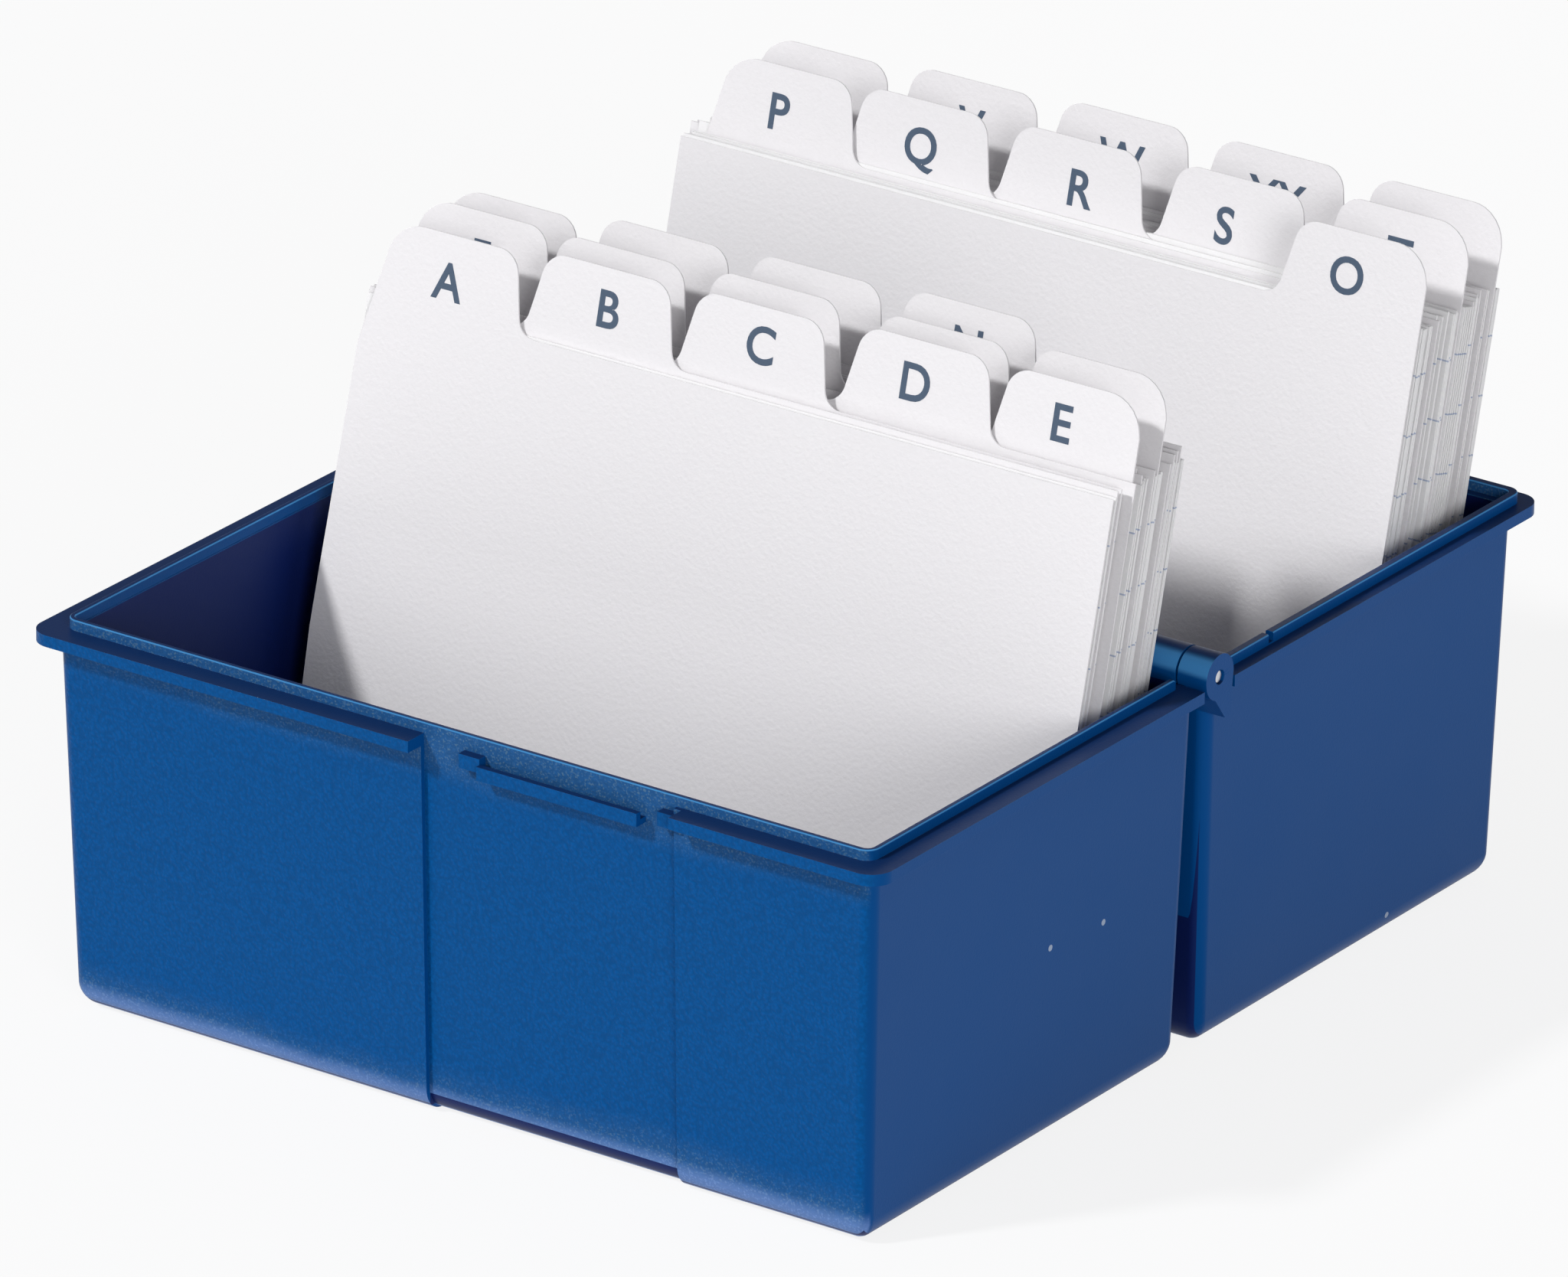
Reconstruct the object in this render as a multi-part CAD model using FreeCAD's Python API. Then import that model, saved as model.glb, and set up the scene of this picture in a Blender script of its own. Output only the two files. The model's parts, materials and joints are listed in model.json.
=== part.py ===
import FreeCAD, Part
import math
import os

os.makedirs("parts", exist_ok=True)

# A two-tray index card box, opened flat. Both trays stand on the table with their mouths up and
# share one steel hinge pin. Millimetres, +Z up, +X to the right along the hinge, +Y away from the
# viewer. The origin is on the table under the middle of the hinge.

V = FreeCAD.Vector

# Trays
rim_reach = 95.0
rim_height = 66.5
wall = 2.0
floor_thickness = 1.9
overhang = 3.4
draft_ratio = 0.0253
hinge_wall_inset = 1.5
bottom_round = 4.5
corner_round = 2.4
inner_round = 1.2
inner_bottom_round = 1.3

# Rim
flange_thickness = 2.0
flange_corner = 4.0
lip_height = 1.85
front_lip_offset = 0.1
front_lip_thickness = 1.0
rear_lip_thickness = 1.5
lip_nesting_gap = 0.35
lip_edge_round = 0.3
lip_end_from_hinge = 6.0
lip_end_round = 1.0
closed_rim_gap = 2.3
lip_notch_place = 18.3
lip_notch_width = 1.3

# Recessed panel and latch on the front wall
panel_left = -7.2
panel_right = 41.8
panel_recess = 0.9
flange_gap_right = 43.2
catch_left = 4.8
catch_right = 35.8
catch_reach = 2.5
catch_ledge = 1.0
catch_lip_thickness = 1.1
catch_lip_height = 2.3
catch_drop = 4.2
step_left = 0.8
step_reach = 1.7
step_height = 2.4
step_drop = 0.9
end_block_left = 39.2
tongue_side_gap = 1.2
tongue_thickness = 1.5
tongue_gap = 0.3
tongue_hook = 0.8
tongue_hook_height = 1.6

# Hinge
knuckle_radius = 3.9
pin_diameter = 2.4
pin_fit = 0.05
pin_recess = 0.4
hinge_gap = 0.4
end_ear_length = 5.6
side_knuckle_length = 9.0
centre_ear_length = 12.0
centre_knuckle_length = 11.0
knuckle_web_drop = 7.6
knuckle_web_reach = 1.2

# Cards and guides
card_width = 148.0
card_height = 102.0
card_side_room = 3.6
guide_thickness = 0.30
tab_height = 14.0
tab_columns = 5
tab_top_half = 10.6
tab_base_half = 13.4
tab_round = 4.2
valley_round = 3.4
outer_slope_in = 2.4
outer_slope_down = 9.0
lean_degrees = 14.0
card_gap = 0.12
seat_gap = 0.4
sheaf_thickness = 0.75
sheaf_gap = 0.05
sheaf_shift = 0.6
sheaf_lift = 0.8
pack_gap = 1.1064
far_pack_gap = 4.7931
front_pack_depth = 21.3
rear_pack_depth = 25.0

# Where each section starts, as a share of its pack's thickness
front_sections = ["A", "B", "C", "D", "E", "F", "G", "H", "I", "J", "K", "L", "M", "N"]
front_start_shares = [0.0, 0.055, 0.11, 0.165, 0.22, 0.37, 0.425, 0.48, 0.535, 0.59,
                      0.745, 0.80, 0.855, 0.91]
rear_sections = ["O", "P", "Q", "R", "S", "T", "U", "V", "W", "XY", "Z"]
rear_start_shares = [0.0, 0.31, 0.36, 0.41, 0.46, 0.52, 0.67, 0.72, 0.77, 0.83, 0.89]
front_first_column = 0
rear_columns = [4, 0, 1, 2, 3, 4, 0, 1, 2, 3, 4]

# Cuts run this far past the faces that they open
overrun = 5.0

# Sizes that follow from the ones above
rim_width = card_width + 2 * (card_side_room + wall + overhang)
hinge_height = rim_height + closed_rim_gap / 2
half_width = rim_width / 2
flange_bottom = rim_height - flange_thickness
wall_top_x = half_width - overhang
wall_top_y = rim_reach - overhang
rim_band = wall + overhang
lean = math.radians(lean_degrees)
lean_sin = math.sin(lean)
lean_cos = math.cos(lean)
cards_foot = floor_thickness + seat_gap

# The packs lean back: the front one towards the hinge knuckles, the rear one towards its far wall
lean_slope = lean_sin / lean_cos
front_pack_end = -knuckle_radius - pack_gap - (hinge_height - cards_foot) * lean_slope
rear_pack_end = wall_top_y - wall - far_pack_gap - (rim_height - cards_foot) * lean_slope
front_pack_start = front_pack_end - front_pack_depth
rear_pack_start = rear_pack_end - rear_pack_depth


def box(x0, x1, y0, y1, z0, z1):
    return Part.makeBox(x1 - x0, y1 - y0, z1 - z0, V(x0, y0, z0))


def face(points):
    return Part.Face(Part.makePolygon(points + [points[0]]))


def tapered(low, high, z0, z1):
    """A block whose bottom and top are the rectangles (x0, x1, y0, y1) low and high."""
    def ring(r, z):
        return [V(r[0], r[2], z), V(r[1], r[2], z), V(r[1], r[3], z), V(r[0], r[3], z)]
    a = ring(low, z0)
    b = ring(high, z1)
    sides = [face([a[i], a[(i + 1) % 4], b[(i + 1) % 4], b[i]]) for i in range(4)]
    return Part.makeSolid(Part.makeShell([face(a[::-1]), face(b)] + sides))


def prism_x(points, x0, x1):
    """Extrude a closed outline of (y, z) points along the hinge direction."""
    return face([V(x0, y, z) for y, z in points]).extrude(V(x1 - x0, 0, 0))


def flat_edges(shape, z, tolerance):
    return [e for e in shape.Edges if abs(e.BoundBox.ZMin - z) < tolerance
            and abs(e.BoundBox.ZMax - z) < tolerance]


def rounded_tub(front, side, hinge, z0, corner, bottom):
    """The tapered tub between the outer front and side faces and the hinge-side face.

    front, side and hinge are distances at the rim; every wall draws in towards the floor."""
    drop = draft_ratio * (rim_height - z0)
    high = (-side, side, -front, -hinge)
    low = (-side + drop, side - drop, -front + drop, -hinge - drop)
    tub = tapered(low, high, z0, rim_height)
    tub = tub.makeFillet(bottom, flat_edges(tub, z0, bottom / 10))
    climbing = [e for e in tub.Edges if e.BoundBox.ZMax - e.BoundBox.ZMin > bottom / 2
                and e.BoundBox.YMax - e.BoundBox.YMin < rim_reach / 4
                and e.BoundBox.XMax - e.BoundBox.XMin < rim_reach / 4]
    return tub.makeFillet(corner, climbing)


def rim_plate(low, high, inset, corner):
    """A plate over the whole rim, with rounded corners at the latch side."""
    plate = box(-half_width + inset, half_width - inset, -rim_reach + inset, -hinge_wall_inset,
                low, high)
    rounded = [e for e in plate.Edges if e.BoundBox.ZMax - e.BoundBox.ZMin > (high - low) / 2
               and e.BoundBox.YMax < -rim_reach / 2]
    return plate.makeFillet(corner, rounded)


def lip_strip(offset, thickness):
    """The raised lip: a low wall round three sides, offset outwards from the inner wall face."""
    outer = rim_band - offset - thickness
    inner = rim_band - offset
    strip = rim_plate(rim_height, rim_height + lip_height, outer, corner_round)
    hole = rim_plate(rim_height - overrun, rim_height + overrun, inner, inner_round)
    hole_tail = box(-half_width + inner, half_width - inner, -rim_reach / 2, overrun,
                    rim_height - overrun, rim_height + overrun)
    hinge_end = box(-rim_width, rim_width, -lip_end_from_hinge, overrun,
                    rim_height - overrun, rim_height + overrun)
    strip = strip.cut([hole, hole_tail, hinge_end])
    top = rim_height + lip_height
    ends = [e for e in strip.Edges if e.BoundBox.ZMin > top - lip_edge_round
            and e.BoundBox.YMin > -lip_end_from_hinge - lip_edge_round]
    strip = strip.makeFillet(lip_end_round, ends)
    long_edges = [e for e in flat_edges(strip, top, lip_edge_round / 4)
                  if e.BoundBox.YMin < -lip_end_from_hinge - thickness / 2]
    return strip.makeFillet(lip_edge_round, long_edges)


def knuckle(x0, x1):
    """One hinge knuckle of the tray that lies at -Y: a barrel and the web down to its wall."""
    barrel = Part.makeCylinder(knuckle_radius, x1 - x0, V(x0, 0, hinge_height), V(1, 0, 0))
    web_foot = hinge_height - knuckle_web_drop
    under = math.sqrt(knuckle_radius ** 2 - knuckle_web_reach ** 2)
    web = prism_x([(-hinge_wall_inset - wall, web_foot),
                   (-hinge_wall_inset - draft_ratio * knuckle_web_drop, web_foot),
                   (knuckle_web_reach, hinge_height - under),
                   (0, hinge_height),
                   (-knuckle_radius, hinge_height),
                   (-hinge_wall_inset - wall, flange_bottom)], x0, x1)
    return barrel.fuse(web)


def knuckle_room(x0, x1):
    """The space that the other tray's knuckle turns in."""
    return Part.makeCylinder(knuckle_radius + hinge_gap, x1 - x0 + 2 * hinge_gap,
                             V(x0 - hinge_gap, 0, hinge_height), V(1, 0, 0))


def mirrored_spans(spans):
    return spans + [(-x1, -x0) for x0, x1 in spans]


# Knuckles of each tray along the hinge, right half first
ear_start = half_width - end_ear_length
side_end = ear_start - hinge_gap
centre_start = centre_ear_length / 2 + hinge_gap
rear_knuckles = mirrored_spans([(ear_start, half_width)])
rear_knuckles.append((-centre_ear_length / 2, centre_ear_length / 2))
front_knuckles = mirrored_spans([(side_end - side_knuckle_length, side_end),
                                 (centre_start, centre_start + centre_knuckle_length)])

pin_bore = Part.makeCylinder(pin_diameter / 2 + pin_fit, rim_width + 2 * overrun,
                             V(-half_width - overrun, 0, hinge_height), V(1, 0, 0))


def plain_tray(own_knuckles, other_knuckles, recessed, lip_offset, lip_thickness):
    """A tray at -Y of the hinge: tub, flange, lip, knuckles and the room for the others."""
    body = rounded_tub(wall_top_y, wall_top_x, hinge_wall_inset, 0, corner_round, bottom_round)
    if recessed:
        slim = rounded_tub(wall_top_y - panel_recess, wall_top_x, hinge_wall_inset, 0,
                           corner_round, bottom_round)
        window = box(panel_left, panel_right, -rim_reach, -rim_reach / 2,
                     -overrun, rim_height + overrun)
        body = body.cut(window).fuse(slim.common(window))
    flange = rim_plate(flange_bottom, rim_height, 0, flange_corner)
    inside = box(-wall_top_x + wall / 2, wall_top_x - wall / 2, -wall_top_y + wall / 2, overrun,
                 0, rim_height + overrun)
    hinge_end = box(-rim_width, rim_width, -knuckle_radius - hinge_gap, overrun,
                    0, rim_height + overrun)
    flange = flange.cut([inside, hinge_end])
    if recessed:
        latch_gap = box(panel_left, flange_gap_right, -rim_reach - overrun,
                        -wall_top_y + wall, 0, rim_height + overrun)
        flange = flange.cut(latch_gap)
    body = body.fuse(flange)
    cavity = rounded_tub(wall_top_y - wall, wall_top_x - wall, hinge_wall_inset + wall,
                         floor_thickness, inner_round, inner_bottom_round)
    body = body.cut(cavity)
    body = body.fuse(lip_strip(lip_offset, lip_thickness))
    body = body.cut([knuckle_room(x0, x1) for x0, x1 in other_knuckles])
    body = body.fuse([knuckle(x0, x1) for x0, x1 in own_knuckles])
    return body.cut(pin_bore)


def front_tray():
    tray = plain_tray(front_knuckles, rear_knuckles, True,
                      front_lip_offset, front_lip_thickness)
    wall_face = wall_top_y - panel_recess
    ledge_z = rim_height - catch_drop
    root = wall_face - draft_ratio * catch_drop - wall / 2
    catch = prism_x([(-root, ledge_z),
                     (-wall_face - catch_reach, ledge_z),
                     (-wall_face - catch_reach, ledge_z + catch_lip_height),
                     (-wall_face - catch_reach + catch_lip_thickness, ledge_z + catch_lip_height),
                     (-wall_face - catch_reach + catch_lip_thickness, ledge_z + catch_ledge),
                     (-root, ledge_z + catch_ledge)], catch_left, catch_right)
    step_top = rim_height - step_drop
    left_step = box(step_left, catch_left, -wall_face - step_reach, -root,
                    step_top - step_height, step_top)
    end_block = box(end_block_left, flange_gap_right, -wall_face - step_reach, -root,
                    step_top - step_height, step_top)
    return tray.fuse([catch, left_step, end_block])


def rear_tray():
    rear_lip_offset = front_lip_offset + front_lip_thickness + lip_nesting_gap
    tray = plain_tray(rear_knuckles, front_knuckles, False, rear_lip_offset, rear_lip_thickness)
    notch = box(-rim_width, rim_width, -lip_notch_place - lip_notch_width / 2,
                -lip_notch_place + lip_notch_width / 2, rim_height + lip_edge_round,
                rim_height + overrun)
    tray = tray.cut(notch)
    # The snap tongue reaches up past the rim, and hooks under the catch bar when the box shuts
    bar_face = wall_top_y - panel_recess + catch_reach
    bar_under = rim_height - catch_drop
    inner_face = bar_face + tongue_gap
    hook_top = 2 * hinge_height - (bar_under - tongue_gap)
    tongue = prism_x([(-inner_face, flange_bottom),
                      (-inner_face - tongue_thickness, flange_bottom),
                      (-inner_face - tongue_thickness, hook_top + tongue_hook_height / 2),
                      (-inner_face, hook_top + tongue_hook_height),
                      (-inner_face + tongue_hook, hook_top),
                      (-inner_face, hook_top)],
                     catch_left + tongue_side_gap, catch_right - tongue_side_gap)
    tray = tray.fuse(tongue)
    return tray.mirror(V(0, 0, 0), V(0, 1, 0))


def hinge_pin():
    length = rim_width - 2 * pin_recess
    pin = Part.makeCylinder(pin_diameter / 2, length, V(-length / 2, 0, hinge_height), V(1, 0, 0))
    rims = [e for e in pin.Edges if len(e.Vertexes) == 1]
    return pin.makeChamfer(pin_diameter / 10, rims)


def leaned(shape, y, z):
    """Tip an upright plate back and stand its lower front edge at y, z."""
    turn = FreeCAD.Rotation(V(1, 0, 0), -lean_degrees)
    shape.Placement = FreeCAD.Placement(V(0, y, z), turn)
    return shape


def corner_edges(plate, places, height):
    """The short edges through an upright plate at one height and at the given x places."""
    return [e for e in plate.Edges for x in places
            if e.BoundBox.YMax - e.BoundBox.YMin > guide_thickness / 2
            and abs(e.BoundBox.XMin - x) < guide_thickness
            and abs(e.BoundBox.ZMin - height) < guide_thickness]


def guide_plate(column):
    """A guide card with one tab, upright, its front face on the XZ plane and its foot at zero."""
    half = card_width / 2
    pitch = card_width / tab_columns
    middle = -half + pitch * (column + 1 / 2)
    top = card_height + tab_height
    left_base = middle - tab_base_half
    right_base = middle + tab_base_half
    outline = [(-half, 0), (half, 0)]
    if column == tab_columns - 1:
        outline += [(half, top - tab_height - outer_slope_down), (half - outer_slope_in, top)]
    else:
        outline += [(half, card_height), (right_base, card_height), (middle + tab_top_half, top)]
    if column == 0:
        outline += [(-half + outer_slope_in, top), (-half, top - tab_height - outer_slope_down)]
    else:
        outline += [(middle - tab_top_half, top), (left_base, card_height), (-half, card_height)]
    plate = face([V(x, 0, z) for x, z in outline]).extrude(V(0, guide_thickness, 0))

    tab_tops = [x for x, z in outline if z == top]
    valleys = [x for x, z in outline if z == card_height and abs(x) < half]
    plate = plate.makeFillet(tab_round, corner_edges(plate, tab_tops, top))
    return plate.makeFillet(valley_round, corner_edges(plate, valleys, card_height))


def card_sheaves(depth, y, seed):
    """The ruled cards behind one guide: thin sheaves, each a little out of line with the next."""
    count = max(1, round(depth / sheaf_thickness))
    thick = (depth - sheaf_gap * (count - 1)) / count
    sheaves = []
    for i in range(count):
        phase = seed * tab_columns + 2 * i + 1
        shift = sheaf_shift * math.sin(phase)
        lift = sheaf_lift * (1 + math.cos(2 * phase)) / 2
        plate = box(-card_width / 2 + shift, card_width / 2 + shift, 0, thick, 0, card_height)
        step = i * (thick + sheaf_gap) / lean_cos
        foot = cards_foot + thick * lean_sin
        sheaves.append(leaned(plate, y + step + lift * lean_sin, foot + lift * lean_cos))
    return sheaves


def pack(sections, shares, columns, start, end):
    """Guides and card groups of one pack, front to back, as (name, guide, cards) lists."""
    made = []
    ends = shares[1:] + [1]
    guide_foot = cards_foot + guide_thickness * lean_sin
    for i, name in enumerate(sections):
        y = start + (end - start) * shares[i]
        next_y = start + (end - start) * ends[i]
        room = (next_y - y) * lean_cos
        guide = leaned(guide_plate(columns[i]), y, guide_foot)
        behind = guide_thickness + card_gap
        cards = card_sheaves(room - behind - card_gap, y + behind / lean_cos, i + 1)
        made.append((name, guide, cards))
    return made


front_columns = [(front_first_column + i) % tab_columns for i in range(len(front_sections))]
front_pack = pack(front_sections, front_start_shares, front_columns,
                  front_pack_start, front_pack_end)
rear_pack = pack(rear_sections, rear_start_shares, rear_columns, rear_pack_start, rear_pack_end)

parts = {"front_tray": front_tray(), "rear_tray": rear_tray(), "hinge_pin": hinge_pin()}
for name, guide, cards in front_pack + rear_pack:
    parts["guide_" + name] = guide
    parts["cards_" + name] = Part.makeCompound(cards)

for name, shape in parts.items():
    if not shape.isValid():
        raise ValueError(name + " is not a valid shape")
    shape.exportStep("parts/" + name + ".step")
    b = shape.BoundBox
    print(name, len(shape.Solids), "solids, size",
          round(b.XLength, 1), round(b.YLength, 1), round(b.ZLength, 1))
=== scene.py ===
import json
import math
import random

import bmesh
import bpy
from mathutils import Matrix, Vector


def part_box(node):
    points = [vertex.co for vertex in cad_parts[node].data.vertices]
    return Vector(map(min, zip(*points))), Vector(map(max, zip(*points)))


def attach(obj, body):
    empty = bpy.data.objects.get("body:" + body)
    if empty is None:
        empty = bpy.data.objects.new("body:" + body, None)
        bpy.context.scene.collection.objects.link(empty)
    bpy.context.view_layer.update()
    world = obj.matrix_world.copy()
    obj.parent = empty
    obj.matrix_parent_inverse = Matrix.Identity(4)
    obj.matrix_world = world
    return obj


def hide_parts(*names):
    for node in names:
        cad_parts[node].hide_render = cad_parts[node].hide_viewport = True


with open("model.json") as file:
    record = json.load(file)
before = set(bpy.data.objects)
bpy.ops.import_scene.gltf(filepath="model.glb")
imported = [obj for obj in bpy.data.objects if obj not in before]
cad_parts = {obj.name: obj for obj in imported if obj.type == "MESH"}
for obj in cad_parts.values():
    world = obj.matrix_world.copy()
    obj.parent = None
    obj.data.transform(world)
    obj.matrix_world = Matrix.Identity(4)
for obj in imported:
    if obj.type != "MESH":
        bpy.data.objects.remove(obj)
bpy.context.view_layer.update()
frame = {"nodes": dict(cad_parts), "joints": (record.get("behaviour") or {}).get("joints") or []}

mm = 0.001


# Trays
# Two deep trays of blue plastic with a flange round the rim, hinged there and opened flat.
# Each is one moulding, with a fine grain on the end walls; side walls and rim are smoother.
plastic_blue = (0.0005, 0.066, 0.235)
plastic_side_blue = (0.0004, 0.055, 0.215)
plastic_painted_inside_shade = (0.0045, 0.012, 0.085)
plastic_painted_rim_shade = (0.0045, 0.022, 0.090)
plastic_wear_and_highlight_blue = (0.075, 0.150, 0.240)
plastic_edge_highlight_blue = (0.060, 0.260, 0.560)
plastic_fillet_highlight_blue = (0.160, 0.270, 0.560)
dust_grey = (0.45, 0.52, 0.62)
plastic_glint = (0.20, 0.50, 1.0)
plastic_gloss = 0.18
plastic_roughness = 0.37
grain_scale = 1500.0
grain_strength = 0.7
grain_depth = 0.2 * mm
pebble_light_and_shade_levels = (0.84, 1.12)
tray_edge_break = 0.24 * mm
hinge_y = sum(corner[1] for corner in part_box("hinge_pin")) / 2
rim_top = 66.5 * mm
lip_top = rim_top + 1.85 * mm
wall_draft = 0.0253
wall_middle_x = 78.6 * mm
wall_middle_y = 90.6 * mm
hinge_wall_half = 2.6 * mm
floor_skin = 1.2 * mm
end_wall_from = 84 * mm
end_flange_from = 92 * mm
rim_heights = (60 * mm, 62 * mm)
under_rim_heights = (61 * mm, 67 * mm)
low_wall_highlight_depths = (-6 * mm, 1.5 * mm)
fillet_highlight_depths = (-4.6 * mm, -1.2 * mm)


def node(tree, kind, values=None, **settings):
    """Add one shader node, set its plain properties and its unlinked inputs."""
    made = tree.nodes.new(kind)
    for key, value in settings.items():
        setattr(made, key, value)
    for key, value in (values or {}).items():
        if isinstance(value, bpy.types.NodeSocket):
            tree.links.new(value, made.inputs[key])
        else:
            made.inputs[key].default_value = value
    return made


def maths(tree, operation, *values):
    return node(tree, "ShaderNodeMath", dict(enumerate(values)), operation=operation).outputs[0]


def product(tree, first, *more):
    """Multiply masks and plain numbers."""
    for value in more:
        first = maths(tree, "MULTIPLY", first, value)
    return first


def mixed(tree, share, first, second):
    """Blend two colours by a mask."""
    def colour(value):
        return value if isinstance(value, bpy.types.NodeSocket) else (*value, 1)
    made = node(tree, "ShaderNodeMix", {0: share, 6: colour(first), 7: colour(second)},
                data_type="RGBA")
    return made.outputs[2]


def ramp(tree, value, low, high):
    """A smooth mask: 0 below low and 1 above high."""
    made = node(tree, "ShaderNodeMapRange", {"Value": value, "From Min": low, "From Max": high},
                interpolation_type="SMOOTHSTEP")
    return made.outputs["Result"]


def noise(tree, place, scale, detail=2.0, rough=0.5):
    made = node(tree, "ShaderNodeTexNoise", {"Vector": place, "Scale": scale, "Detail": detail,
                                             "Roughness": rough})
    return made.outputs["Fac"]


def bumped(tree, shader, height, strength, depth):
    """Let a height turn the shader's normal."""
    bump = node(tree, "ShaderNodeBump", {"Strength": strength, "Distance": depth,
                                         "Height": height})
    tree.links.new(bump.outputs["Normal"], shader.inputs["Normal"])


def effect(name, inputs, outputs):
    """An empty shader node group with the named sockets, and its two end nodes."""
    tree = bpy.data.node_groups.new(name, "ShaderNodeTree")
    for in_out, sockets in (("INPUT", inputs), ("OUTPUT", outputs)):
        for socket, kind in sockets.items():
            tree.interface.new_socket(socket, in_out=in_out, socket_type="NodeSocket" + kind)
    return tree, tree.nodes.new("NodeGroupInput").outputs, tree.nodes.new("NodeGroupOutput")


def place_effect(tree, group, values):
    return node(tree, "ShaderNodeGroup", values, node_tree=group).outputs


def fine_grain():
    """Pebbled grain: the height of many small flat bumps with narrow valleys between them."""
    tree, given, out = effect("fine_grain", {"Place": "Vector", "Scale": "Float"},
                              {"Height": "Float", "Sparkle": "Float"})
    cells = node(tree, "ShaderNodeTexVoronoi", {"Vector": given["Place"], "Scale": given["Scale"]},
                 feature="SMOOTH_F1")
    fine = noise(tree, given["Place"], product(tree, given["Scale"], 1.7), detail=3.0)
    bumps = maths(tree, "SUBTRACT", 1.0, cells.outputs["Distance"])
    height = maths(tree, "ADD", product(tree, bumps, 0.6), product(tree, fine, 0.6))
    tree.links.new(height, out.inputs["Height"])
    tree.links.new(ramp(tree, fine, 0.52, 0.68), out.inputs["Sparkle"])
    return tree


def dust_specks():
    """A mask of rare tiny specks."""
    tree, given, out = effect("dust_specks",
                              {"Place": "Vector", "Scale": "Float", "Share": "Float"},
                              {"Mask": "Float"})
    cells = node(tree, "ShaderNodeTexVoronoi", {"Vector": given["Place"], "Scale": given["Scale"]})
    pick = node(tree, "ShaderNodeTexWhiteNoise", {"Vector": cells.outputs["Position"]},
                noise_dimensions="3D")
    chosen = maths(tree, "LESS_THAN", pick.outputs["Value"], given["Share"])
    small = maths(tree, "LESS_THAN", cells.outputs["Distance"], 0.09)
    tree.links.new(product(tree, chosen, small), out.inputs["Mask"])
    return tree


grain_effect = fine_grain()
speck_effect = dust_specks()


def finished(name):
    """A new material with only its Principled shader and output."""
    made = bpy.data.materials.new(name)
    made.use_nodes = True
    return made, made.node_tree, made.node_tree.nodes["Principled BSDF"]


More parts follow.
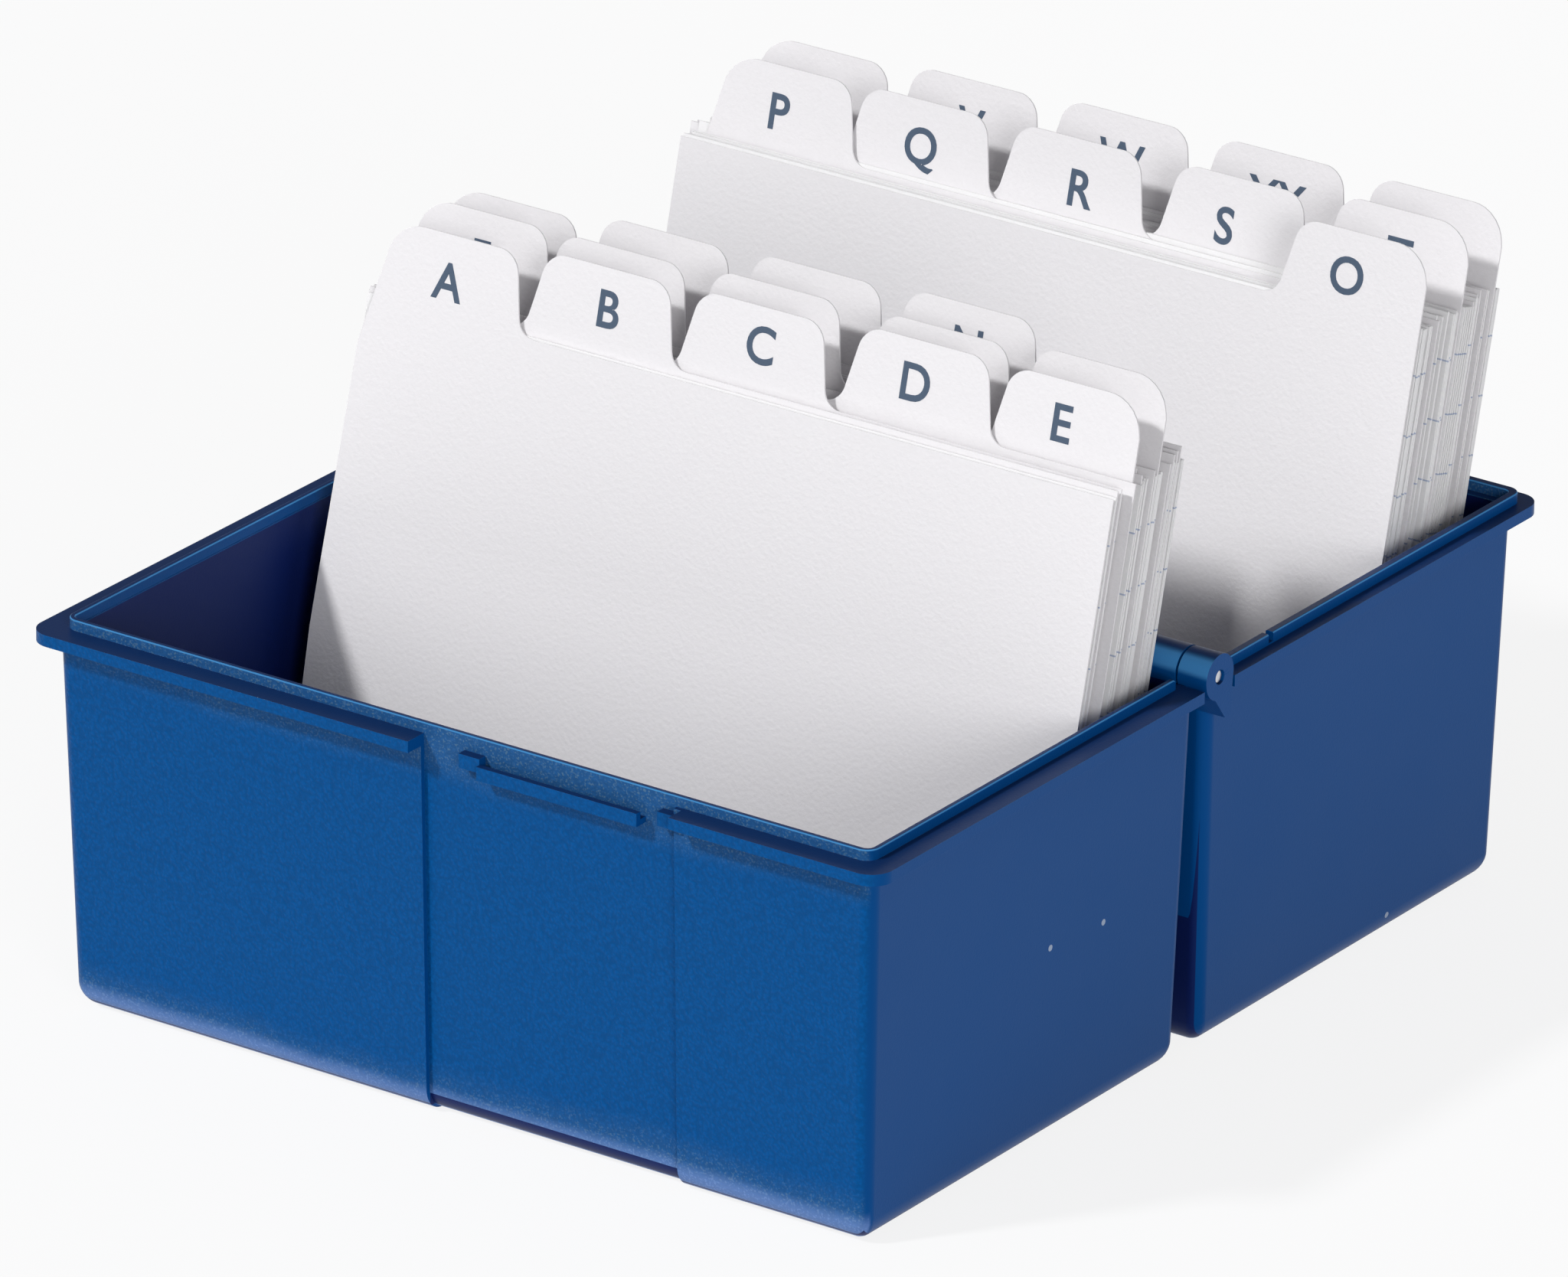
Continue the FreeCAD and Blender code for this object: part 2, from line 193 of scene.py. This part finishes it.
def tray_plastic():
    """Blue plastic: painted shade inside and on the rim tops, grained end walls with painted light
    and shade on the pebbles, worn under the flange, and painted highlights on the lip edges and
    along the bottom.
    """
    made, tree, shader = finished("blue_moulded_plastic")
    where = node(tree, "ShaderNodeTexCoord")
    place = where.outputs["Object"]
    at = node(tree, "ShaderNodeSeparateXYZ", {0: place}).outputs
    facing = node(tree, "ShaderNodeSeparateXYZ", {0: where.outputs["Normal"]}).outputs
    side_x = maths(tree, "ABSOLUTE", at["X"])
    side_y = maths(tree, "ABSOLUTE", maths(tree, "SUBTRACT", at["Y"], hinge_y))
    faces_end = maths(tree, "ABSOLUTE", facing["Y"])
    draw_in = product(tree, maths(tree, "SUBTRACT", rim_top, at["Z"]), wall_draft)
    # Painted shade: the inside of the tray, below the rim, is given a darker navy colour.
    inside = product(
        tree,
        maths(tree, "LESS_THAN", maths(tree, "ADD", side_x, draw_in), wall_middle_x),
        maths(tree, "LESS_THAN", maths(tree, "ADD", side_y, draw_in), wall_middle_y),
        maths(tree, "LESS_THAN", at["Z"], rim_top - 0.2 * mm),
        maths(tree, "GREATER_THAN", at["Z"], floor_skin),
        maths(tree, "GREATER_THAN", side_y, hinge_wall_half))
    outside = maths(tree, "SUBTRACT", 1.0, inside)
    at_end = maths(tree, "GREATER_THAN", side_y, end_wall_from)
    # Painted shade: the upward faces of the flange and lip are given a darker navy colour.
    rim = product(tree, ramp(tree, facing["Z"], 0.6, 0.85), ramp(tree, at["Z"], *rim_heights))
    end_wall = product(tree, ramp(tree, faces_end, 0.6, 0.9), at_end, outside)

    grain = place_effect(tree, grain_effect, {"Place": place, "Scale": grain_scale})
    clouds = noise(tree, place, 28.0, detail=3.0, rough=0.6)
    under_rim = maths(tree, "ADD", at["Z"], product(tree, clouds, 6 * mm))
    under_rim = product(tree, ramp(tree, under_rim, *under_rim_heights),
                        maths(tree, "LESS_THAN", side_y, end_flange_from))
    # Painted highlight: a pale speckled band along the bottom of the end walls.
    low_wall_highlight = maths(tree, "SUBTRACT", product(tree, clouds, 8 * mm), at["Z"])
    low_wall_highlight = ramp(tree, low_wall_highlight, *low_wall_highlight_depths)
    # A paler speckled band of wear just under the flange, joined with the painted highlight along
    # the bottom.
    wear_and_highlight = product(tree, maths(tree, "MAXIMUM", under_rim, low_wall_highlight), end_wall,
                   maths(tree, "MULTIPLY_ADD", grain["Sparkle"], 0.65, 0.2))
    # Painted highlight: a pale line along the rounded top edge of the lip.
    lip_edge_highlight = product(tree, maths(tree, "SUBTRACT", 1.0, ramp(tree, facing["Z"], 0.80, 0.97)),
                       ramp(tree, facing["Z"], 0.1, 0.4),
                       maths(tree, "GREATER_THAN", at["Z"], lip_top - 0.4 * mm))
    # Painted highlight: a pale speckled band on the bottom fillet of the end walls.
    fillet_highlight = maths(tree, "SUBTRACT", product(tree, clouds, 2.5 * mm), at["Z"])
    fillet_highlight = product(tree, ramp(tree, fillet_highlight, *fillet_highlight_depths),
                      ramp(tree, faces_end, 0.25, 0.5), at_end, outside,
                      maths(tree, "MULTIPLY_ADD", grain["Sparkle"], 0.3, 0.6))
    specks = place_effect(tree, speck_effect, {"Place": place, "Scale": 150.0, "Share": 0.018})

    # Painted light and shade on the grain: the pebble tops are painted lighter and the valleys
    # darker.
    painted_pebble_light_and_shade = mixed(tree, ramp(tree, grain["Height"], 0.45, 0.95),
                    *(tuple(shade * c for c in plastic_blue) for shade in pebble_light_and_shade_levels))
    colour = mixed(tree, end_wall, plastic_side_blue, painted_pebble_light_and_shade)
    for mask, paint in ((inside, plastic_painted_inside_shade), (rim, plastic_painted_rim_shade),
                        (wear_and_highlight, plastic_wear_and_highlight_blue),
                        (product(tree, lip_edge_highlight, 0.8), plastic_edge_highlight_blue),
                        (fillet_highlight, plastic_fillet_highlight_blue),
                        (product(tree, specks["Mask"], outside, 0.7), dust_grey)):
        colour = mixed(tree, mask, colour, paint)
    tree.links.new(colour, shader.inputs["Base Color"])
    shader.inputs["Specular IOR Level"].default_value = plastic_gloss
    shader.inputs["Specular Tint"].default_value = (*plastic_glint, 1)
    rough = maths(tree, "MULTIPLY_ADD", clouds, 0.10, plastic_roughness)
    rough = maths(tree, "MULTIPLY_ADD", end_wall, 0.06, rough)
    tree.links.new(rough, shader.inputs["Roughness"])
    satin = noise(tree, place, 2600.0)
    height = maths(tree, "MULTIPLY_ADD", satin, 0.12,
                   product(tree, end_wall, grain["Height"], 0.9))
    bumped(tree, shader, height, grain_strength, grain_depth)
    return made


def edge_plastic():
    """The same plastic on the narrow broken edges, painted paler in patches as a highlight."""
    made, tree, shader = finished("painted_edge_highlight_plastic")
    place = node(tree, "ShaderNodeTexCoord").outputs["Object"]
    edge_highlight_share = ramp(tree, noise(tree, place, 60.0, detail=3.0, rough=0.6), 0.35, 0.7)
    colour = mixed(tree, edge_highlight_share, plastic_side_blue, plastic_edge_highlight_blue)
    tree.links.new(colour, shader.inputs["Base Color"])
    tree.links.new(maths(tree, "MULTIPLY_ADD", edge_highlight_share, -0.08, 0.36), shader.inputs["Roughness"])
    return made


def smooth(mesh):
    for polygon in mesh.polygons:
        polygon.use_smooth = True


def broken_edges(piece, width):
    """Weld the facets and break each edge a little, in the second material, which paints a
    highlight on them.
    """
    weld = piece.modifiers.new("weld", "WELD")
    weld.merge_threshold = 0.002 * mm
    bevel = piece.modifiers.new("edge_break", "BEVEL")
    bevel.limit_method = "ANGLE"
    bevel.angle_limit = math.radians(40)
    bevel.width = width
    bevel.segments = 2
    bevel.material = 1
    smooth(piece.data)
    normals = piece.modifiers.new("wide_faces", "WEIGHTED_NORMAL")
    normals.keep_sharp = True


tray_material = tray_plastic()
edge_highlight_material = edge_plastic()
for tray in ("front_tray", "rear_tray"):
    piece = frame["nodes"][tray]
    piece.data.materials.clear()
    piece.data.materials.append(tray_material)
    piece.data.materials.append(edge_highlight_material)
    broken_edges(piece, tray_edge_break)


# Hinge pin
# A straight steel rod through the ears of both trays, held by friction.
# It is cut from drawn wire, so its ends show bright metal with faint turning marks.
steel = (0.66, 0.67, 0.70)
turning_marks = (90, 2400, 2400)


def drawn_steel():
    made, tree, shader = finished("drawn_steel")
    place = node(tree, "ShaderNodeTexCoord").outputs["Object"]
    drawn = node(tree, "ShaderNodeMapping", {"Vector": place, "Scale": turning_marks}).outputs[0]
    marks = noise(tree, drawn, 1.0, detail=3.0)
    shader.inputs["Base Color"].default_value = (*steel, 1)
    shader.inputs["Metallic"].default_value = 1.0
    tree.links.new(maths(tree, "MULTIPLY_ADD", marks, 0.2, 0.22), shader.inputs["Roughness"])
    bumped(tree, shader, marks, strength=0.3, depth=0.02 * mm)
    return made


pin = frame["nodes"]["hinge_pin"]
pin.data.materials.clear()
pin.data.materials.append(drawn_steel())
smooth(pin.data)
pin_edges = pin.modifiers.new("pin_edges", "EDGE_SPLIT")
pin_edges.split_angle = math.radians(35)


# Ruled index cards
# Thin white cards ruled in blue, standing loose behind each guide and leaning back with it.
# They are cut paper, stuck in small blocks that are a little out of line with each other.
card_width = 146.5 * mm
card_height = 102.5 * mm
card_thickness = 0.30 * mm
card_pitch = card_thickness * 1.8
guide_room = 0.45 * mm
back_room = 0.12 * mm
foot_room = 0.12 * mm
top_room = 0.4 * mm
common_slip = 0.7 * mm
rear_settle = 1.5 * mm
parting_share = 0.34
closed_gap = 0.03
foot_gaps = (0.4, 1.2)
top_gaps = (0.4, 1.6)
block_slips = (-0.7, 0.5)
card_slips = (-0.1, 0.1)
block_rise = 0.7
card_rise = 0.15
first_rule = 0.045
rule_pitch = 0.0488
rule_half = 0.0013
paper_shades = ((0.76, 0.755, 0.76), (0.80, 0.795, 0.80))
rule_blue = (0.10, 0.20, 0.42)
front_shares = (0, 0.045, 0.095, 0.19, 0.235, 0.36, 0.40, 0.44, 0.537, 0.582, 0.749, 0.79,
                0.831, 0.871)
rear_shares = (0, 0.235, 0.27, 0.305, 0.345, 0.5, 0.65, 0.684, 0.722, 0.806, 0.901)
card_corners = ((0, 0), (1, 0), (1, 1), (0, 1))
card_faces = ((0, 1, 2, 3), (7, 6, 5, 4), (1, 5, 6, 2), (4, 0, 3, 7), (3, 2, 6, 7), (4, 5, 1, 0))

lift_axis = next(Vector(j["axis"]) for j in frame["joints"] if j["name"] == "guide_A_lift")
lean = math.atan2(lift_axis.y, lift_axis.z)
card_up = Vector((0, math.sin(lean), math.cos(lean)))
card_back = Vector((0, math.cos(lean), -math.sin(lean)))
sections = [n[len("guide_"):] for n in frame["nodes"] if n.startswith("guide_")]
front_sections = [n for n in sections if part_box("guide_" + n)[0].y < hinge_y]
rear_sections = [n for n in sections if n not in front_sections]
foot_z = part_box("guide_A")[0].z


def ruled_paper():
    made, tree, shader = finished("ruled_paper")
    where = node(tree, "ShaderNodeTexCoord")
    at = node(tree, "ShaderNodeSeparateXYZ", {0: where.outputs["UV"]}).outputs
    rule = maths(tree, "PINGPONG", maths(tree, "SUBTRACT", at["Y"], first_rule), rule_pitch)
    rule = maths(tree, "LESS_THAN", rule, rule_half)
    fibres = noise(tree, where.outputs["Object"], 900.0, detail=4.0)
    white = mixed(tree, fibres, *paper_shades)
    colour = mixed(tree, product(tree, rule, 0.6), white, rule_blue)
    tree.links.new(colour, shader.inputs["Base Color"])
    shader.inputs["Roughness"].default_value = 0.75
    bumped(tree, shader, fibres, strength=0.2, depth=0.05 * mm)
    return made


def depths(gaps, room):
    """Where each card of a group stands across the room, its gaps in the given proportions."""
    spare = (room - len(gaps) * card_thickness) / sum(gaps)
    places = []
    at = 0.0
    for gap in gaps:
        places.append(at)
        at += card_thickness + gap * spare
    return places


def section_starts(group, shares, settle):
    """Where the feet of each section of a pack start and end, from front to back."""
    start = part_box("guide_" + group[0])[0].y
    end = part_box("cards_" + group[-1])[1].y - (card_height + top_room) * card_up.y
    places = [start + settle + (end - start) * share for share in (*shares, 1)]
    return {name: span for name, *span in zip(group, places, places[1:])}


def add_piece(name, data):
    """Put a new mesh, text, lamp or camera in the scene."""
    made = bpy.data.objects.new(name, data)
    bpy.context.scene.collection.objects.link(made)
    return made


def card_group(name, seed):
    """All the cards behind one guide, as one mesh of separate thin cards."""
    start, end = spans[name]
    chance = random.Random(seed)
    start += guide_room / card_back.y
    room = (end - start) * card_back.y - back_room
    count = max(1, int(room / card_pitch))
    parted = [chance.random() < parting_share for _ in range(count)]
    feet, tops = (depths([chance.uniform(*gaps) if part else closed_gap for part in parted], room)
                  for gaps in (foot_gaps, top_gaps))
    made = bmesh.new()
    uv = made.loops.layers.uv.new("card")
    foot = Vector((0, start, foot_z + foot_room))
    for i in range(count):
        if i == 0 or parted[i - 1]:
            block_shift = chance.uniform(*block_slips) * mm
            block_lift = chance.random() ** 2 * block_rise * mm
        shift = block_shift + chance.uniform(*card_slips) * mm
        lift = block_lift + chance.uniform(0, card_rise) * mm
        corners = []
        for back in (0, card_thickness):
            for u, v in card_corners:
                depth = feet[i] + (tops[i] - feet[i]) * v + back
                spot = foot + card_up * (v * card_height + lift) + card_back * depth
                spot.x = common_slip + shift + (u - 0.5) * card_width
                corners.append((made.verts.new(spot), u, v))
        for ring in card_faces:
            polygon = made.faces.new([corners[k][0] for k in ring])
            for loop, k in zip(polygon.loops, ring):
                loop[uv].uv = corners[k][1:]
    made.normal_update()
    mesh = bpy.data.meshes.new("ruled_cards_" + name)
    made.to_mesh(mesh)
    made.free()
    mesh.materials.append(paper_material)
    piece = add_piece("ruled_cards_" + name, mesh)
    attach(piece, "cards_" + name)
    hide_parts("cards_" + name)


paper_material = ruled_paper()
spans = section_starts(front_sections, front_shares, 0)
spans.update(section_starts(rear_sections, rear_shares, rear_settle))
for seed, section in enumerate(sections):
    card_group(section, seed)


# Guide cards
# One stiff die-cut white card per section, with a rounded tab that stands over the ruled cards.
# The tabs step across in fifths. Some guides have slipped or risen, and the first bows forward.
guide_thickness = 0.30 * mm
tab_height = 13.3 * mm
tab_pitch = card_width / 5
tab_shift = 1.5 * mm
tab_top_half = 11.9 * mm
tab_base_half = 14.6 * mm
tab_round = 4.2 * mm
valley_round = 3.4 * mm
outer_tab_round = 6.5 * mm
arc_steps = 7
column_step = 4 * mm
low_part = card_height - 8 * mm
low_rows = (0, 0.2, 0.4, 0.5, 0.6, 0.7, 0.78, 0.85, 0.92, 1)
top_rows = (0.33, 0.66, 1)
bow_depth = 2.2 * mm
bow_from = 8 * mm
bow_reach = 65 * mm
bow_rise = 45 * mm
bow_top = 50 * mm
bow_fall = 58 * mm
card_shades = ((0.735, 0.72, 0.735), (0.77, 0.755, 0.77))
tab_rows = ("ABCDE", "FGHIJ", "KLMNO", "PQRST", ("U", "V", "W", "XY", "Z"))
guide_columns = {name: column for row in tab_rows for column, name in enumerate(row)}

# Millimetres that single guides have slipped to the right and risen
guide_slips = {"D": 1.2, "G": -2.6, "H": -2.2, "Q": -2.6, "R": -2.0}
guide_rises = {"B": 1.1, "C": 1.1, "D": 1.6, "E": 1.1, "F": 1.6, "G": 1.2, "H": 1.7, "I": 1.2,
               "J": 2.0, "K": 0.8, "L": 2.1, "M": 2.4, "N": 2.9, "V": 0.9, "W": 1.4, "XY": 0.8}


def rounded(points, radii):
    """Replace the corners of an open outline by arcs."""
    out = [points[0]]
    for before, corner, after, radius in zip(points, points[1:], points[2:], radii):
        a = (before - corner).normalized()
        b = (after - corner).normalized()
        half = a.angle(b) / 2
        reach = radius / math.tan(half)
        middle = corner + (a + b).normalized() * (radius / math.sin(half))
        start = corner + a * reach - middle
        end = corner + b * reach - middle
        for k in range(arc_steps + 1):
            t = k / arc_steps
            turned = (start * (1 - t) + end * t).normalized() * radius
            out.append(middle + turned)
    out.append(points[-1])
    return out


def guide_outline(column):
    """The top edge of a guide from its left side to its right side, as (x, v) points."""
    half = card_width / 2
    middle = -half + tab_pitch * (column + 0.5) + tab_shift
    top = card_height + tab_height
    slope = (tab_base_half - tab_top_half) / tab_height
    points = []
    radii = []
    if column == 0:
        points.append(Vector((-half, top - (middle - tab_top_half + half) / slope)))
    else:
        points += [Vector((-half, card_height)), Vector((middle - tab_base_half, card_height))]
        radii.append(valley_round)
    points += [Vector((middle - tab_top_half, top)), Vector((middle + tab_top_half, top))]
    radii += [outer_tab_round if column == side else tab_round for side in (0, 4)]
    if column == 4:
        points.append(Vector((half, top - (half - middle - tab_top_half) / slope)))
    else:
        points += [Vector((middle + tab_base_half, card_height)), Vector((half, card_height))]
        radii.append(valley_round)
    return rounded(points, radii), middle


def with_more_columns(points, step):
    """Add points on the long straight runs of an outline, so that the card can bend."""
    out = [points[0]]
    for a, b in zip(points, points[1:]):
        parts = max(1, math.ceil((b.x - a.x) / step))
        out += [a.lerp(b, k / parts) for k in range(1, parts + 1)]
    return out


def bow(x, v):
    """How far the first guide bows forward at its left, between its foot and its top."""
    across = max(0.0, (-x - bow_from) / bow_reach)
    rise = min(1.0, v / bow_rise) * max(0.0, 1 - max(0.0, v - bow_top) / bow_fall) ** 1.2
    return -bow_depth * across ** 1.3 * rise


def on_card(name, x, v, depth):
    """The point at x across and v up the front face of a guide, depth behind that face."""
    start = spans[name][0]
    foot = Vector((0, start, foot_z + guide_thickness * card_up.y))
    v += guide_rises.get(name, 0) * mm
    spot = foot + card_up * v + card_back * (depth + (bow(x, v) if name == "A" else 0.0))
    spot.x = common_slip + guide_slips.get(name, 0) * mm + x
    return spot


def white_card():
    made, tree, shader = finished("white_card")
    place = node(tree, "ShaderNodeTexCoord").outputs["Object"]
    fibres = noise(tree, place, 1300.0, detail=3.0)
    tree.links.new(mixed(tree, fibres, *card_shades), shader.inputs["Base Color"])
    shader.inputs["Roughness"].default_value = 0.6
    bumped(tree, shader, fibres, strength=0.5, depth=0.16 * mm)
    return made


def guide_card(name):
    """One guide as a closed thin sheet of rows and columns; gives the middle of its tab."""
    outline, middle = guide_outline(guide_columns[name])
    outline = with_more_columns(outline, column_step)
    made = bmesh.new()
    faces = []
    for depth in (0, guide_thickness):
        columns = []
        for point in outline:
            rows = [low_part * s for s in low_rows]
            rows += [low_part + (point.y - low_part) * s for s in top_rows]
            columns.append([made.verts.new(on_card(name, point.x, v, depth)) for v in rows])
        faces.append(columns)
    front, back = faces
    for i in range(len(outline) - 1):
        for k in range(len(front[0]) - 1):
            made.faces.new((front[i][k], front[i + 1][k], front[i + 1][k + 1], front[i][k + 1]))
            made.faces.new((back[i][k + 1], back[i + 1][k + 1], back[i + 1][k], back[i][k]))
        made.faces.new((front[i][-1], front[i + 1][-1], back[i + 1][-1], back[i][-1]))
        made.faces.new((back[i][0], back[i + 1][0], front[i + 1][0], front[i][0]))
    for end, turn in ((0, 1), (-1, -1)):
        for k in range(len(front[0]) - 1):
            ring = [back[end][k], front[end][k], front[end][k + 1], back[end][k + 1]]
            made.faces.new(ring[::turn])
    mesh = bpy.data.meshes.new("tab_guide_" + name)
    made.to_mesh(mesh)
    made.free()
    smooth(mesh)
    mesh.materials.append(guide_material)
    piece = add_piece("tab_guide_" + name, mesh)
    sharp = piece.modifiers.new("cut_edges", "EDGE_SPLIT")
    sharp.split_angle = math.radians(40)
    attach(piece, "guide_" + name)
    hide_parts("guide_" + name)
    return middle


guide_material = white_card()
tab_middles = {name: guide_card(name) for name in sections}


# Printed letters
# Plain sans-serif capitals printed on the tabs in dark slate blue, a few of them off centre.
# The ink lies flat on the card and follows its bend.
cap_height = 6.3 * mm
face_cap_share = 0.729
ink_lift = 0.02 * mm
letter_drop = 7.4 * mm
letter_narrow = 0.96
stroke_swell = 0.016
ink_thickness = 0.002
ink_shades = ((0.045, 0.075, 0.125), (0.070, 0.105, 0.160))

# Millimetres that single letters are printed to the right of and above their place
printed_off = {"A": (-0.6, -0.1), "B": (1.1, 0.9), "C": (0.8, 1.4), "D": (-0.9, 0.7),
               "E": (-1.4, 0.7), "N": (0, 0.8), "O": (-1.9, 0.2), "P": (-1.2, -0.15),
               "R": (1.65, -0.5), "S": (-2.0, -0.7)}


def ink():
    made, tree, shader = finished("slate_ink")
    place = node(tree, "ShaderNodeTexCoord").outputs["Object"]
    patches = noise(tree, place, 3500.0, detail=3.0)
    tree.links.new(mixed(tree, patches, *ink_shades), shader.inputs["Base Color"])
    shader.inputs["Roughness"].default_value = 0.55
    return made


def printed_letter(name):
    curve = bpy.data.curves.new("letters", "FONT")
    curve.body = name
    curve.align_x = "CENTER"
    curve.resolution_u = 6
    curve.offset = stroke_swell
    curve.extrude = ink_thickness
    writing = add_piece("letters", curve)
    graph = bpy.context.evaluated_depsgraph_get()
    mesh = bpy.data.meshes.new_from_object(writing.evaluated_get(graph))
    bpy.data.objects.remove(writing)
    xs = [v.co.x for v in mesh.vertices]
    size = cap_height / face_cap_share
    centre_x = (min(xs) + max(xs)) / 2
    off_x, off_v = (step * mm for step in printed_off.get(name, (0, 0)))
    for vertex in mesh.vertices:
        x = tab_middles[name] + off_x + (vertex.co.x - centre_x) * size * letter_narrow
        v = card_height + tab_height - letter_drop + off_v + vertex.co.y * size - cap_height / 2
        vertex.co = on_card(name, x, v, -ink_lift - vertex.co.z * size)
    mesh.name = "letter_" + name
    mesh.materials.clear()
    mesh.materials.append(ink_material)
    piece = add_piece("letter_" + name, mesh)
    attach(piece, "guide_" + name)


ink_material = ink()
for section in sections:
    printed_letter(section)


# Table, light and camera
# A pale table top, a small key lamp high at the front left, a wide soft lamp low at the front
# right, and a long lens that looks down over the front right corner.
table_size = 12.0
table_drop = 0.05 * mm
table_glow = 0.85
table_shades = ((0.84, 0.84, 0.845), (0.86, 0.86, 0.865))
sky_white = (0.96, 0.97, 1.0)
sky_strength = 0.27
camera_azimuth = math.radians(34.9918)
camera_elevation = math.radians(23.0639)
camera_roll = math.radians(0.5352)
camera_distance = 2685.557 * mm
picture_width = 2048
picture_height = 1668
pixels_per_metre = 8.0084 / mm
origin_pixel = (1030.83, 1227.17)


def pale_table():
    """White card that glows where the camera or a glossy surface looks at it."""
    made, tree, shader = finished("pale_table")
    place = node(tree, "ShaderNodeTexCoord").outputs["Object"]
    shade = mixed(tree, noise(tree, place, 12.0, detail=3.0), *table_shades)
    tree.links.new(shade, shader.inputs["Base Color"])
    shader.inputs["Roughness"].default_value = 0.9
    shader.inputs["Specular IOR Level"].default_value = 0.1
    glow = node(tree, "ShaderNodeEmission", {"Color": (1, 1, 1, 1), "Strength": 1.0})
    path = node(tree, "ShaderNodeLightPath").outputs
    seen = maths(tree, "MAXIMUM", path["Is Camera Ray"], path["Is Glossy Ray"])
    seen = product(tree, seen, table_glow)
    both = node(tree, "ShaderNodeMixShader", {0: seen, 1: shader.outputs[0], 2: glow.outputs[0]})
    tree.links.new(both.outputs[0], tree.nodes["Material Output"].inputs["Surface"])
    return made


def sun(name, towards, strength, spread):
    lamp = bpy.data.lights.new(name, "SUN")
    lamp.energy = strength
    lamp.angle = math.radians(spread)
    piece = add_piece(name, lamp)
    piece.rotation_mode = "QUATERNION"
    piece.rotation_quaternion = Vector(towards).to_track_quat("Z", "Y")


bpy.ops.mesh.primitive_plane_add(size=table_size, location=(0, 0, -table_drop))
floor = bpy.context.object
floor.name = "table_top"
floor.data.materials.append(pale_table())

sun("key_lamp", towards=(-1.0, -1.5, 1.7), strength=2.3, spread=6)
sun("fill_lamp", towards=(1.0, -0.75, 0.33), strength=1.45, spread=25)

world = bpy.data.worlds.new("soft_room")
bpy.context.scene.world = world
world.use_nodes = True
sky = world.node_tree
background = sky.nodes["Background"]
background.inputs["Color"].default_value = (*sky_white, 1)
background.inputs["Strength"].default_value = sky_strength
seen = node(sky, "ShaderNodeBackground", {"Color": (1, 1, 1, 1), "Strength": 1.0})
path = node(sky, "ShaderNodeLightPath").outputs
blend = node(sky, "ShaderNodeMixShader", {0: path["Is Camera Ray"], 1: background.outputs[0],
                                         2: seen.outputs[0]})
sky.links.new(blend.outputs[0], sky.nodes["World Output"].inputs["Surface"])

forward = Vector((-math.sin(camera_azimuth) * math.cos(camera_elevation),
                  math.cos(camera_azimuth) * math.cos(camera_elevation),
                  -math.sin(camera_elevation)))
right = Vector((math.cos(camera_azimuth), math.sin(camera_azimuth), 0))
up = right.cross(forward)
right, up = (right * math.cos(camera_roll) + up * math.sin(camera_roll),
             up * math.cos(camera_roll) - right * math.sin(camera_roll))
lens = bpy.data.cameras.new("long_lens")
lens.sensor_width = 36.0
lens.lens = pixels_per_metre * camera_distance / picture_width * lens.sensor_width
lens.clip_start = 0.1
lens.clip_end = 20.0
camera = add_piece("camera", lens)
across = (origin_pixel[0] - picture_width / 2) / pixels_per_metre
raised = (picture_height / 2 - origin_pixel[1]) / pixels_per_metre
turn = Matrix((right, up, -forward)).transposed().to_4x4()
camera_place = Vector((0, hinge_y, 0)) - forward * camera_distance - right * across - up * raised
camera.matrix_world = Matrix.Translation(camera_place) @ turn
bpy.context.scene.camera = camera
bpy.context.scene.view_settings.view_transform = "Standard"
